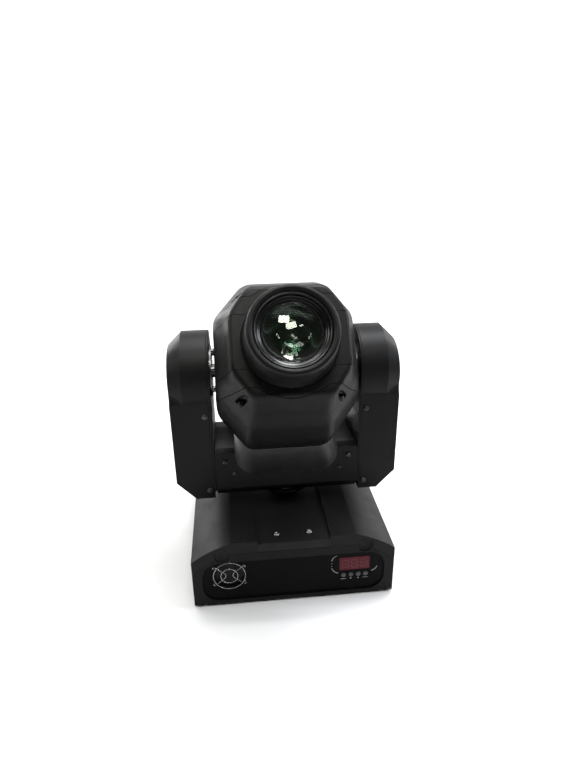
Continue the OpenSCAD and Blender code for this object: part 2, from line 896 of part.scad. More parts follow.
module focus_lens() {
    color("#a9c0cc", 0.5) in_head() rod_y(24, -82, -76);
}

module led_module() {
    color("#d8d9d2") in_head() union() {
        box([-20, 20, -20], [20, 22, 20]);
        rod_y(13, 2, 20 + eps);
    }
}

module heat_sink() {
    color("#a4a7ab") in_head() union() {
        box([-42, 22, -42], [42, 30, 42]);
        for (i = [-6 : 6]) box([i * 6.8 - 1, 30 - eps, -42], [i * 6.8 + 1, 68, 42]);
    }
}

module head_fan_frame() {
    color("#101011") in_head() translate([0, 70, 0]) rotate([-90, 0, 0]) fan_frame(80, 15, 37, 16);
}

module head_fan_rotor() {
    color("#1b1b1d") in_head() translate([0, 71, 0]) rotate([-90, 0, 0]) fan_rotor(35.5, 15, 11, 7);
}

bottom_plate();
rubber_feet();
left_base_cover();
right_base_cover();
deck_plate();
front_panel();
rear_panel();
display_window();
display_board();
fan_guard();
base_fan_frame();
base_fan_rotor();
power_inlet();
data_sockets();
pan_bearing();
power_supply();
corner_caps();
deck_screws();
menu_button();
down_button();
up_button();
enter_button();
pan_motor();
pan_motor_pulley();
pan_belt();
yoke_frame();
pan_tube();
pan_pulley();
front_bridge_cover();
rear_bridge_cover();
left_arm_cover();
right_arm_cover();
left_inner_cover();
right_inner_cover();
arm_screws();
tilt_motor();
tilt_motor_pulley();
tilt_belt();
tilt_bearings();
head_front_shell();
head_bands();
head_lower_cover();
head_upper_cover();
head_rear_grille();
left_tilt_hub();
right_tilt_hub();
tilt_pulley();
lens_bezel();
front_lens();
led_module();
heat_sink();
head_fan_frame();
head_fan_rotor();
colour_wheel();
gobo_wheel();
wheel_motors();
focus_carriage();
focus_lens();
guide_rods();
head_chassis();
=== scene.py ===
import json
import math

import bpy
import bmesh
from mathutils import Matrix, Vector


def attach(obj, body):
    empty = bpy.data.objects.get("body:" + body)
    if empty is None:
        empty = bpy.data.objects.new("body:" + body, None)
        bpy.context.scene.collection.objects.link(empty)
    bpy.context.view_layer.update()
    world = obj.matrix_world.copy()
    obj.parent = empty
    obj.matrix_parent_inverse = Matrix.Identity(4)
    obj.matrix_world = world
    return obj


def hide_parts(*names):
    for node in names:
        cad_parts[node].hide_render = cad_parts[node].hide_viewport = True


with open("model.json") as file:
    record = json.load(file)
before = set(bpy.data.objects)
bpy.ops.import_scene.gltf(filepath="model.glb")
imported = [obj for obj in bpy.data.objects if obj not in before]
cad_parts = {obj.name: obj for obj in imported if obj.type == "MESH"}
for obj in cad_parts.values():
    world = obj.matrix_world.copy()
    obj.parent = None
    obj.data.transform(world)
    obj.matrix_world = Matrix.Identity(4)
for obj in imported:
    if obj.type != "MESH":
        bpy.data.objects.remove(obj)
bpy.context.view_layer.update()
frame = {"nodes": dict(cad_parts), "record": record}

# ---------------------------------------------------------------- sizes in mm, as in the CAD frame
# Pairs are (x, z) on the front or rear. The display adds its width and height, and the cap its radius.
MM = 0.001
WALL = 3.0
GAP = 0.28          # how far the head's pieces stay back from the lines between them
FLOOR_Z = -6.0
BASE_HALF = 125.0
FRONT_Y = -123.0
REAR_Y = 123.0
SKIRT = -2.5
SIDE_H = 63.0
COVER_TOP = 88.0
CHANNEL = 44.0
SHOULDER_X = 75.0
SHOULDER_R = 140.0
LIP_H = 16.0
PANEL_BACK = -117.5
POCKET_Y = -120.5
PANEL_TOP = COVER_TOP - LIP_H
FAN = (-80.0, 39.0)
DISPLAY = (75.5, 42.0, 38.0, 19.0)
BUTTONS = (("menu", 61.9), ("down", 71.2), ("up", 80.5), ("enter", 89.8))
BUTTON_Z = 25.0
CAP = (88.0, 70.0, 8.5)
TILT_Z = 261.0
REST_TILT = 35.0
ARM_IN = 91.0
ARM_OUT = 141.5
ARM_HALF = 46.0
ARM_BOTTOM = 102.0
DRUM_R = 52.0
ARM_SCREWS = [(100.0, 114.0), (100.0, 219.0)]
HEAD_FACE = 126.0
HEAD_REAR_CUT = 79.0
# Along the lens axis: distance, half width, half height, and the corner cuts across and up
STATIONS = [(-100, 58, 56, 22, 24), (-78, 77, 78, 34, 34), (-40, 85, 98, 37, 45), (30, 85, 102, 37, 48),
            (66, 82, 90, 36, 44), (100, 70, 74, 28, 34), (126, 65, 61, 21, 31)]
# Half heights of the front shell and of the bands beside it, and the arcs that both make round the ring
LOW, HIGH = 30.0, 50.0
ARC_LOW, ARC_HIGH = 54.0, 63.0
PIT = (55.5, 59.0)  # a cover's screw pocket, across and up from the lens axis
HEAD = Matrix.Translation((0, 0, TILT_Z)) @ Matrix.Rotation(math.radians(-REST_TILT), 4, "X")


# ---------------------------------------------------------------- materials
def tree(name):
    mat = bpy.data.materials.new(name)
    mat.use_nodes = True
    nt = mat.node_tree
    return mat, nt, nt.nodes["Principled BSDF"]


def add(nt, kind, **values):
    node = nt.nodes.new(kind)
    for key, value in values.items():
        if key in node.inputs:
            node.inputs[key].default_value = value
        else:
            setattr(node, key, value)
    return node


def ramp(nt, source, stops):
    node = nt.nodes.new("ShaderNodeValToRGB")
    node.color_ramp.elements[0].position = stops[0][0]
    node.color_ramp.elements[0].color = stops[0][1]
    node.color_ramp.elements[1].position = stops[-1][0]
    node.color_ramp.elements[1].color = stops[-1][1]
    for pos, colour in stops[1:-1]:
        node.color_ramp.elements.new(pos).color = colour
    nt.links.new(source, node.inputs["Fac"])
    return node.outputs["Color"]


def grey(v, tint=(1, 1, 1)):
    return (v * tint[0], v * tint[1], v * tint[2], 1)


def noise(nt, scale, detail=3.0, rough=0.5, stretch=None):
    coord = add(nt, "ShaderNodeTexCoord").outputs["Object"]
    if stretch:
        mapping = add(nt, "ShaderNodeMapping")
        mapping.inputs["Scale"].default_value = stretch
        nt.links.new(coord, mapping.inputs["Vector"])
        coord = mapping.outputs["Vector"]
    node = add(nt, "ShaderNodeTexNoise", Scale=scale, Detail=detail, Roughness=rough)
    nt.links.new(coord, node.inputs["Vector"])
    return node.outputs["Fac"]


def surface(name, dark, light, rough, rough_span, grain=0.0, grain_scale=1500.0, metallic=0.0,
            patch_scale=14.0, stretch=None, coat=0.0, coat_rough=0.1, specular=0.5, scratches=0.0):
    """A surface whose colour and roughness drift over patches, with a fine grain and a few scuffs."""
    mat, nt, bsdf = tree(name)
    bsdf.inputs["Metallic"].default_value = metallic
    bsdf.inputs["Coat Weight"].default_value = coat
    bsdf.inputs["Coat Roughness"].default_value = coat_rough
    bsdf.inputs["Specular IOR Level"].default_value = specular
    patch = noise(nt, patch_scale, 4.0, 0.6, stretch)
    nt.links.new(ramp(nt, patch, [(0.3, dark), (0.7, light)]), bsdf.inputs["Base Color"])
    spread = add(nt, "ShaderNodeMapRange")
    spread.inputs["From Min"].default_value = 0.3
    spread.inputs["From Max"].default_value = 0.7
    spread.inputs["To Min"].default_value = rough - rough_span
    spread.inputs["To Max"].default_value = rough + rough_span
    nt.links.new(noise(nt, patch_scale * 3.1, 5.0, 0.65, stretch), spread.inputs["Value"])
    nt.links.new(spread.outputs["Result"], bsdf.inputs["Roughness"])
    if grain:
        bump = add(nt, "ShaderNodeBump", Strength=grain, Distance=0.0002)
        nt.links.new(noise(nt, grain_scale, 2.0, 0.6, stretch), bump.inputs["Height"])
        if scratches:
            fine = add(nt, "ShaderNodeBump", Strength=scratches, Distance=0.0003)
            nt.links.new(noise(nt, 260.0, 3.0, 0.7, (1.0, 0.06, 1.0)), fine.inputs["Height"])
            nt.links.new(bump.outputs["Normal"], fine.inputs["Normal"])
            bump = fine
        nt.links.new(bump.outputs["Normal"], bsdf.inputs["Normal"])
    return mat


WARM = (1.04, 1, 0.97)
M = {
    "black_abs": surface("moulded black plastic", grey(0.0050), grey(0.0078), 0.43, 0.07, 0.32, 1900,
                         specular=0.12, scratches=0.03),
    "head_abs": surface("head black plastic", grey(0.0048, WARM), grey(0.0076, WARM), 0.4, 0.07, 0.26, 2100,
                        specular=0.12, scratches=0.03),
    "panel_black": surface("front panel plastic", grey(0.0050), grey(0.0078), 0.46, 0.06, 0.22, 1700,
                           specular=0.1),
    "panel_skin": surface("printed panel skin", grey(0.0016), grey(0.0024), 0.42, 0.06, 0.12, 1200,
                          specular=0.05),
    "black_sheet": surface("powder coated sheet", grey(0.0045), grey(0.0065), 0.55, 0.05, 0.5, 1100,
                           specular=0.2),
    "sheet_steel": surface("bent steel", grey(0.30), grey(0.38), 0.38, 0.08, 0.1, 700, 1.0,
                           stretch=(1, 14, 1)),
    "machined_alloy": surface("machined alloy", grey(0.14), grey(0.2), 0.32, 0.08, 0.1, 900, 1.0,
                              stretch=(1, 1, 9)),
    "gloss_black": surface("glossy black", grey(0.0035), grey(0.0055), 0.22, 0.05, 0.05, 1500,
                           specular=0.2, coat=0.2),
    "bright_wire": surface("plated wire", grey(0.26), grey(0.34), 0.24, 0.06, 0.05, 900, 1.0),
    "bright_screw": surface("blackened screw", grey(0.05), grey(0.10), 0.34, 0.08, 0.08, 1200, 1.0),
    "deck_screw": surface("worn screw", grey(0.2), grey(0.3), 0.28, 0.08, 0.08, 1200, 1.0),
    "fan_black": surface("fan plastic", grey(0.006), grey(0.009), 0.4, 0.06, 0.12, 1400, specular=0.2),
    "socket_black": surface("socket plastic", grey(0.008), grey(0.012), 0.4, 0.06, 0.15, 1600,
                            specular=0.2),
    "button_grey": surface("grey buttons", grey(0.035), grey(0.055), 0.4, 0.06, 0.1, 1800),
    "motor_black": surface("motor housing", grey(0.03), grey(0.045), 0.45, 0.06, 0.2, 900, 0.4),
    "brass_pulley": surface("brass pulleys", (0.5, 0.36, 0.14, 1), (0.6, 0.45, 0.19, 1), 0.34, 0.07, 0.1,
                            900, 1.0),
    "black_rubber": surface("black rubber", grey(0.006), grey(0.009), 0.75, 0.08, 0.4, 900, specular=0.2),
    "board_green": surface("circuit board", (0.01, 0.07, 0.03, 1), (0.015, 0.1, 0.04, 1), 0.4, 0.06, 0.1,
                           500),
    "board_white": surface("light source board", grey(0.6), grey(0.7), 0.5, 0.05, 0.1, 700),
    "red_window": surface("tinted display window", (0.085, 0.010, 0.015, 1), (0.11, 0.013, 0.020, 1), 0.3,
                          0.04, 0.04, 900, specular=0.12),
    "segment": surface("unlit segments", (0.06, 0.010, 0.014, 1), (0.07, 0.011, 0.016, 1), 0.4, 0.04, 0.04,
                       900),
    "print_grey": surface("printed marks", grey(0.32), grey(0.42), 0.5, 0.05, 0.05, 900),
}


def lens_material(name, tint, glint, index):
    """Clear glass whose coating colours what it mirrors."""
    mat, nt, bsdf = tree(name)
    bsdf.inputs["Base Color"].default_value = tint
    bsdf.inputs["IOR"].default_value = index
    bsdf.inputs["Transmission Weight"].default_value = 1.0
    bsdf.inputs["Specular Tint"].default_value = glint
    bsdf.inputs["Specular IOR Level"].default_value = 0.25
    rough = add(nt, "ShaderNodeMapRange")
    rough.inputs["To Min"].default_value = 0.022
    rough.inputs["To Max"].default_value = 0.034
    nt.links.new(noise(nt, 60.0, 2.0, 0.5), rough.inputs["Value"])
    nt.links.new(rough.outputs["Result"], bsdf.inputs["Roughness"])
    return mat


M["coated_glass"] = lens_material("coated glass", (0.93, 0.98, 0.95, 1), (0.95, 1.0, 0.92, 1), 1.5)
M["green_coat"] = lens_material("green coated glass", (0.8, 0.95, 0.85, 1), (0.035, 0.16, 0.07, 1), 1.8)
M["amber_coat"] = lens_material("amber coated glass", (0.8, 0.85, 0.75, 1), (0.25, 0.3, 0.08, 1), 1.7)


# ---------------------------------------------------------------- geometry
def obj_of(name, bm, material):
    """Makes an object of a mesh drawn in mm."""
    mesh = bpy.data.meshes.new(name)
    bmesh.ops.recalc_face_normals(bm, faces=bm.faces)
    for v in bm.verts:
        v.co *= MM
    for f in bm.faces:
        f.smooth = True
    bm.to_mesh(mesh)
    bm.free()
    ob = bpy.data.objects.new(name, mesh)
    bpy.context.scene.collection.objects.link(ob)
    if material:
        mesh.materials.append(M[material])
    return ob


def prism_mesh(bm, pts, axis, lo, hi):
    def place(p, v):
        return {"x": (v, p[0], p[1]), "y": (p[0], v, p[1]), "z": (p[0], p[1], v)}[axis]
    a = [bm.verts.new(place(p, lo)) for p in pts]
    b = [bm.verts.new(place(p, hi)) for p in pts]
    n = len(pts)
    bm.faces.new(a)
    bm.faces.new(b[::-1])
    for i in range(n):
        bm.faces.new((a[i], a[(i + 1) % n], b[(i + 1) % n], b[i]))
    return bm


def prism(name, pts, axis, lo, hi, material=None):
    return obj_of(name, prism_mesh(bmesh.new(), pts, axis, lo, hi), material)


def box(name, lo, hi, material=None):
    pts = [(lo[0], lo[1]), (hi[0], lo[1]), (hi[0], hi[1]), (lo[0], hi[1])]
    return prism(name, pts, "z", lo[2], hi[2], material)


def lathe_mesh(bm, profile, steps=96, matrix=Matrix(), closed=True):
    """Turns (radius, height) points about Z. Points on the axis become one vertex."""
    rings = []
    for r, h in profile:
        if r < 1e-6:
            rings.append([bm.verts.new(matrix @ Vector((0, 0, h)))])
        else:
            rings.append([bm.verts.new(matrix @ Vector((r * math.cos(t), r * math.sin(t), h)))
                          for t in (2 * math.pi * k / steps for k in range(steps))])
    pairs = list(zip(rings, rings[1:])) + ([(rings[-1], rings[0])] if closed else [])
    for p, q in pairs:
        for k in range(steps):
            quad = [p[k % len(p)], p[(k + 1) % len(p)], q[(k + 1) % len(q)], q[k % len(q)]]
            face = []
            for v in quad:
                if v not in face:
                    face.append(v)
            if len(face) > 2:
                bm.faces.new(face)
    return bm


def lathe(name, profile, material=None, steps=96, matrix=Matrix(), closed=True):
    return obj_of(name, lathe_mesh(bmesh.new(), profile, steps, matrix, closed), material)


def cyl(name, r, axis, lo, hi, at=(0, 0), steps=96, material=None):
    pts = [(at[0] + r * math.cos(2 * math.pi * k / steps), at[1] + r * math.sin(2 * math.pi * k / steps))
           for k in range(steps)]
    return prism(name, pts, axis, lo, hi, material)


def arc(p, q, r, n=20):
    """Points on the arc of radius r from p to q that bulges up and outwards."""
    p, q = Vector(p), Vector(q)
    d = q - p
    left = Vector((-d.y, d.x)).normalized()
    c = (p + q) / 2 - left * math.sqrt(max(r * r - d.length_squared / 4, 0))
    a0 = math.atan2(p.y - c.y, p.x - c.x)
    a1 = math.atan2(q.y - c.y, q.x - c.x)
    turn = (a1 - a0 + math.pi) % (2 * math.pi) - math.pi
    angles = [a0 + turn * i / n for i in range(n + 1)]
    return [(c.x + r * math.cos(a), c.y + r * math.sin(a)) for a in angles]


def round_rect(x0, z0, x1, z1, r, n=12):
    """A rectangle with rounded corners, n steps to each."""
    pts = []
    corners = ((x1 - r, z1 - r, 0), (x0 + r, z1 - r, 90), (x0 + r, z0 + r, 180), (x1 - r, z0 + r, 270))
    for cx, cz, start in corners:
        for k in range(n + 1):
            t = math.radians(start + 90 * k / n)
            pts.append((cx + r * math.cos(t), cz + r * math.sin(t)))
    return pts


def baked(ob):
    """Applies the object's modifiers."""
    dg = bpy.context.evaluated_depsgraph_get()
    mesh = bpy.data.meshes.new_from_object(ob.evaluated_get(dg), depsgraph=dg)
    old = ob.data
    ob.modifiers.clear()
    ob.data = mesh
    bpy.data.meshes.remove(old)
    return ob


def cut(ob, *ops):
    """Applies booleans in turn: ("-", tool), ("+", tool) or ("&", tool). The tools are used up."""
    names = {"-": "DIFFERENCE", "+": "UNION", "&": "INTERSECT"}
    for sign, tool in ops:
        m = ob.modifiers.new("cut", "BOOLEAN")
        m.operation = names[sign]
        m.object = tool
        m.solver = "EXACT"
        baked(ob)
        bpy.data.objects.remove(tool)
    return ob


def copy_of(ob):
    twin = ob.copy()
    twin.data = ob.data.copy()
    bpy.context.scene.collection.objects.link(twin)
    return twin


def soften(ob, width, segments=3, angle=32.0):
    """Rounds the sharp edges and keeps the flats flat."""
    bm = bmesh.new()
    bm.from_mesh(ob.data)
    bmesh.ops.remove_doubles(bm, verts=bm.verts, dist=1e-6)
    bmesh.ops.dissolve_limit(bm, angle_limit=math.radians(0.2), verts=bm.verts, edges=bm.edges)
    for f in bm.faces:
        f.smooth = True
    bm.to_mesh(ob.data)
    bm.free()
    m = ob.modifiers.new("round", "BEVEL")
    m.width = width * MM
    m.segments = segments
    m.limit_method = "ANGLE"
    m.angle_limit = math.radians(angle)
    m.harden_normals = False
    w = ob.modifiers.new("flats", "WEIGHTED_NORMAL")
    w.keep_sharp = True
    w.weight = 80
    return ob


def put(ob, body, slot, *nodes):
    """Puts a piece on its body, in place of the CAD nodes named. The slot is not used."""
    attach(ob, body)
    if nodes:
        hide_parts(*nodes)
    return ob


def joined(name, parts, material=None):
    """Joins objects into one and uses them up."""
    bm = bmesh.new()
    for p in parts:
        tmp = p.data.copy()
        tmp.transform(p.matrix_world)
        bm.from_mesh(tmp)
        bpy.data.meshes.remove(tmp)
        bpy.data.objects.remove(p)
    mesh = bpy.data.meshes.new(name)
    for f in bm.faces:
        f.smooth = True
    bm.to_mesh(mesh)
    bm.free()
    ob = bpy.data.objects.new(name, mesh)
    bpy.context.scene.collection.objects.link(ob)
    if material:
        mesh.materials.append(M[material])
    return ob


# ---------------------------------------------------------------- screws
def screw_mesh():
    """A pan head screw with a cross recess, its head's seat at z = 0, head up."""
    head = lathe("screw_head", [(0, -5), (1.7, -5), (1.7, 0), (3.5, 0), (3.55, 0.5), (3.3, 1.2), (2.6, 1.75),
                                (1.4, 2.05), (0, 2.1)], steps=40, closed=False)
    for a in (45, 135):
        blade = box("blade", (-1.9, -0.36, 0.75), (1.9, 0.36, 3))
        blade.data.transform(Matrix.Rotation(math.radians(a), 4, "Z"))
        cut(head, ("-", blade))
    mesh = head.data
    bpy.data.objects.remove(head)
    return mesh


SCREW = screw_mesh()


def screws(name, places, body, slot, material, *nodes):
    parts = []
    for i, (at, normal, size) in enumerate(places):
        ob = bpy.data.objects.new("screw", SCREW)
        turn = Vector(normal).to_track_quat("Z", "Y").to_matrix().to_4x4()
        ob.matrix_world = (Matrix.Translation(Vector(at) * MM) @ turn @ Matrix.Rotation(0.7 * i, 4, "Z")
                           @ Matrix.Scale(size, 4))
        parts.append(ob)
    return put(joined(name, parts, material), body, slot, *nodes)


# ---------------------------------------------------------------- base
def cover_line(inset, drop=0.0):
    """A base cover's top from the channel, over its shoulder and down to the side."""
    return ([(CHANNEL, COVER_TOP - inset - drop)]
            + arc((SHOULDER_X, COVER_TOP - inset - drop), (BASE_HALF - inset, SIDE_H - inset / 2 - drop),
                  SHOULDER_R))


def base_cover(side):
    """A hollow cover with a domed shoulder, whose lip stands over the front and rear panels."""
    tag = "left" if side < 0 else "right"
    low = -5
    outer = cover_line(0) + [(BASE_HALF, SKIRT), (CHANNEL, SKIRT)]
    lower = cover_line(0, LIP_H) + [(BASE_HALF + 2, SIDE_H - LIP_H), (BASE_HALF + 2, low), (CHANNEL - 2, low),
                                    (CHANNEL - 2, PANEL_TOP)]
    inner = cover_line(WALL) + [(BASE_HALF - WALL, low), (CHANNEL + WALL, low),
                                (CHANNEL + WALL, COVER_TOP - WALL)]
    outer, lower, inner = [[(side * px, pz) for px, pz in line] for line in (outer, lower, inner)]
    ob = prism("base_cover_" + tag, outer, "y", FRONT_Y, REAR_Y, "black_abs")
    cap_hole = cyl("t", CAP[2] + 0.5, "y", FRONT_Y - 1, POCKET_Y, (side * CAP[0], CAP[1]))
    cut(ob, ("-", prism("t", inner, "y", PANEL_BACK + 0.01, REAR_Y - 4.01)),
        ("-", prism("t", lower, "y", FRONT_Y - 1, PANEL_BACK)),
        ("-", prism("t", lower, "y", REAR_Y - 4, REAR_Y + 1)),
        ("-", cap_hole))
    put(soften(ob, 1.1), "base", "black_abs", tag + "_base_cover")


base_cover(-1)
base_cover(1)


def panel_outline():
    right = arc((SHOULDER_X, PANEL_TOP - 0.3), (BASE_HALF, SIDE_H - LIP_H - 0.3), SHOULDER_R)
    left = [(-x, z) for x, z in reversed(right)]
    return left + right + [(BASE_HALF, SKIRT), (-BASE_HALF, SKIRT)]


def window_rect(grow):
    x, z, w, h = DISPLAY
    return [(x - w / 2 - grow, z - h / 2 - grow), (x + w / 2 + grow, z - h / 2 - grow),
            (x + w / 2 + grow, z + h / 2 + grow), (x - w / 2 - grow, z + h / 2 + grow)]


def front_panel():
    """The panel with its pocket, fan opening, window, cap seats, key holes and two notches at the foot."""
    before = FRONT_Y - 1
    behind = PANEL_BACK + 1
    ob = prism("front_panel_frame", panel_outline(), "y", FRONT_Y, PANEL_BACK, "panel_black")
    cut(ob, ("-", prism("t", round_rect(-113, 1.5, 113, 60, 22), "y", before, POCKET_Y)),
        ("-", cyl("t", 19, "y", before, behind, FAN)),
        ("-", prism("t", window_rect(0.3), "y", before, behind)))
    for s in (-1, 1):
        cut(ob, ("-", cyl("t", CAP[2] + 0.5, "y", before, POCKET_Y, (s * CAP[0], CAP[1]))))
    for _, bx in BUTTONS:
        cut(ob, ("-", cyl("t", 3.35, "y", before, behind, (bx, BUTTON_Z), 48)))
    for s in (-1, 1):
        cut(ob, ("-", box("t", (s * 112 - 2.5, before, -4), (s * 112 + 2.5, FRONT_Y + 1.6, -0.5))))
    put(soften(ob, 0.9), "base", "panel_black", "front_panel")


def panel_skin():
    """The printed sheet in the pocket."""
    near, far = POCKET_Y - 1, POCKET_Y + 1
    outline = round_rect(-112.4, 2.1, 112.4, 59.4, 21.4)
    ob = prism("panel_skin", outline, "y", POCKET_Y - 0.35, POCKET_Y + 0.05, "panel_skin")
    cut(ob, ("-", cyl("t", 21.2, "y", near, far, FAN)),
        ("-", prism("t", window_rect(0.9), "y", near, far)))
    for _, bx in BUTTONS:
        cut(ob, ("-", cyl("t", 3.7, "y", near, far, (bx, BUTTON_Z), 48)))
    put(soften(ob, 0.12, 2), "base", "panel_black")


def facing_front(px, y, pz):
    """Turns what is drawn upwards to face the front."""
    return Matrix.Translation((px, y, pz)) @ Matrix.Rotation(math.pi / 2, 4, "X")


def corner_cap(side, tag, *nodes):
    r = CAP[2]
    profile = [(0, -4), (r + 0.35, -4), (r + 0.35, 1.2), (r, 1.6), (r - 0.8, 1.7), (r - 1.4, 1.4),
               (r - 2.0, 0.8), (0, 0.6)]
    place = facing_front(side * CAP[0], POCKET_Y, CAP[1])
    cap = lathe("corner_cap_" + tag, profile, "black_rubber", 64, place, False)
    put(cap, "base", "gloss_black", *nodes)


def display_pane():
    px, pz, w, h = DISPLAY
    outline = round_rect(px - w / 2, pz - h / 2, px + w / 2, pz + h / 2, 0.8, 4)
    pane = prism("display_window_pane", outline, "y", POCKET_Y - 0.5, PANEL_BACK - 0.5, "red_window")
    put(soften(pane, 0.35), "base", "red_window", "display_window")


front_panel()
panel_skin()
corner_cap(-1, "left", "corner_caps")
corner_cap(1, "right")
display_pane()


def segments():
    """Three dull seven-segment figures that just show through the window."""
    px, pz = DISPLAY[:2]
    half_w, half_h, bar = 3.3, 5.6, 0.55
    bm = bmesh.new()
    for k in range(3):
        cx = px + (k - 1) * 11.5
        bars = [((cx - half_w, pz + dz - bar), (cx + half_w, pz + dz + bar)) for dz in (-half_h, 0, half_h)]
        bars += [((cx + dx - bar, pz + e - half_h / 2 + 0.8), (cx + dx + bar, pz + e + half_h / 2 - 0.8))
                 for dx in (-half_w - 0.4, half_w + 0.4) for e in (-half_h / 2, half_h / 2)]
        for (x0, z0), (x1, z1) in bars:
            prism_mesh(bm, round_rect(x0, z0, x1, z1, 0.45, 3), "y", POCKET_Y - 0.56, POCKET_Y - 0.4)
    return obj_of("display_figures", bm, "segment")


put(segments(), "base", "red_window")


def marks():
    """Plain printed marks: bars and arrows under the keys, thin curves round the display."""
    y0, y1 = POCKET_Y - 0.45, POCKET_Y - 0.3
    bm = bmesh.new()
    zm = BUTTON_Z - 6.2
    for tag, bx in BUTTONS:
        if tag in ("menu", "enter"):
            outline = [(bx - 3.4, zm - 0.3), (bx + 3.4, zm - 0.3), (bx + 3.4, zm + 0.3), (bx - 3.4, zm + 0.3)]
        else:
            up = 1 if tag == "up" else -1
            outline = [(bx - 1.3, zm - up * 0.9), (bx + 1.3, zm - up * 0.9), (bx, zm + up * 1.2)]
        prism_mesh(bm, outline, "y", y0, y1)

    def stroke(cx, cz, r, a0, a1, width=0.75, n=14):
        angles = [math.radians(a0 + (a1 - a0) * k / n) for k in range(n + 1)]
        line = [(r + width / 2, t) for t in angles] + [(r - width / 2, t) for t in reversed(angles)]
        prism_mesh(bm, [(cx + rr * math.cos(t), cz + rr * math.sin(t)) for rr, t in line], "y", y0, y1)
    stroke(56.0, 46.5, 9.5, 108, 172)
    stroke(56.5, 38.0, 9.5, 190, 262)
    stroke(95.5, 37.5, 9.0, 278, 345)
    for dz in (44.0, 39.5):
        turns = [math.pi * k / 4 for k in range(8)]
        dot = [(46.6 + 0.5 * math.cos(t), dz + 0.5 * math.sin(t)) for t in turns]
        prism_mesh(bm, dot, "y", y0, y1)
    return obj_of("panel_marks", bm, "print_grey")


put(marks(), "base", "panel_black")


KEY_PROFILE = [(0, -3.2), (4.2, -3.2), (4.2, -2.2), (2.95, -2.2), (3.0, 1.0), (2.75, 1.45), (2.2, 1.65),
               (1.0, 1.5), (0, 1.45)]
for tag, bx in BUTTONS:
    seat = facing_front(bx, POCKET_Y + 0.05, BUTTON_Z)
    key = lathe("key_" + tag, KEY_PROFILE, "button_grey", 48, seat, False)
    put(key, tag + "_key", "button_grey", tag + "_button")


def tube(bm, points, radius, closed=False, sides=12):
    """Sweeps a round wire along the points."""
    pts = [Vector(p) for p in points]
    n = len(pts)
    rings = []
    for i, p in enumerate(pts):
        before = pts[i - 1] if i or closed else p
        after = pts[(i + 1) % n] if i < n - 1 or closed else p
        d = (after - before).normalized()
        side = d.cross(Vector((0, 1, 0))).normalized()
        rise = side.cross(d)
        rings.append([bm.verts.new(p + radius * (side * math.cos(t) + rise * math.sin(t)))
                      for t in (2 * math.pi * k / sides for k in range(sides))])
    for a, b in list(zip(rings, rings[1:])) + ([(rings[-1], rings[0])] if closed else []):
        for k in range(sides):
            bm.faces.new((a[k], a[(k + 1) % sides], b[(k + 1) % sides], b[k]))
    if not closed:
        bm.faces.new(rings[0])
        bm.faces.new(rings[-1][::-1])


def fan_guard():
    """Two wire rings welded on two bent wires whose ends curl into feet."""
    wire = 0.5
    bm = bmesh.new()
    for r in (10.3, 19.5):
        turns = [2 * math.pi * k / 72 for k in range(72)]
        ring = [(FAN[0] + r * math.cos(t), POCKET_Y - 1.75, FAN[1] + r * math.sin(t)) for t in turns]
        tube(bm, ring, wire, True)
    for s in (-1, 1):
        start = Vector((FAN[0] + s * 2.6, POCKET_Y - 0.75, FAN[1]))
        ends = [start + Vector((s * 15.6, 0, v * 14.2)) for v in (1, -1)]
        near = [start + Vector((s * 3.4, 0, v * 3.8)) for v in (1, -1)]
        bend = [near[0].lerp(start, k / 8).lerp(start.lerp(near[1], k / 8), k / 8) for k in range(9)]
        tube(bm, [ends[0], ends[0].lerp(near[0], 0.5)] + bend + [ends[1].lerp(near[1], 0.5), ends[1]], wire)
        half_turn = [math.pi * k / 10 for k in range(11)]
        curl = [(1.5 * math.sin(t), 1.5 * math.cos(t) - 1.5) for t in half_turn]
        for v, end in zip((1, -1), ends):
            tube(bm, [end + Vector((s * dx, 0, v * dz)) for dx, dz in curl], wire)
    return put(obj_of("fan_guard_wires", bm, "bright_wire"), "base", "bright_wire", "fan_guard")


fan_guard()


def rotor(name, tip, hub, depth, blades, sweep, matrix, body, node, n=8):
    """A hub with twisted blades, each a grid of n by n steps on both sides, closed round its rim."""
    bm = bmesh.new()
    cup = [(0, 0), (hub - 1.0, 0), (hub, 0.9), (hub, depth), (hub - 1.2, depth), (hub - 1.2, 1.4), (0, 1.4)]
    lathe_mesh(bm, cup, 64, matrix, False)

    def blade_point(start, i, j, side):
        u = j / n - 0.5
        r = hub - 0.3 + (tip - hub + 0.3) * i / n
        t = start + sweep * (0.9 + 0.15 * i / n) * u + 0.25 * i / n
        h = depth / 2 - u * (depth - 1.4) * (1.0 - 0.25 * i / n) + 0.4 * math.cos(math.pi * u)
        return matrix @ Vector((r * math.cos(t), r * math.sin(t), h + side * 0.32))

    rim = ([(i, 0) for i in range(n + 1)] + [(n, j) for j in range(1, n + 1)]
           + [(i, n) for i in range(n - 1, -1, -1)] + [(0, j) for j in range(n - 1, 0, -1)])
    for b in range(blades):
        start = 2 * math.pi * b / blades
        upper, lower = [[[bm.verts.new(blade_point(start, i, j, side)) for j in range(n + 1)]
                         for i in range(n + 1)] for side in (1, -1)]
        for rows in (upper, lower):
            for i in range(n):
                for j in range(n):
                    bm.faces.new((rows[i][j], rows[i + 1][j], rows[i + 1][j + 1], rows[i][j + 1]))
        for (i, j), (i2, j2) in zip(rim, rim[1:] + rim[:1]):
            bm.faces.new((upper[i][j], upper[i2][j2], lower[i2][j2], lower[i][j]))
    return put(obj_of(name, bm, "fan_black"), body, "fan_black", node)


def facing_rear(px, y, pz):
    """Turns what is drawn upwards to face the rear."""
    return Matrix.Translation((px, y, pz)) @ Matrix.Rotation(-math.pi / 2, 4, "X")


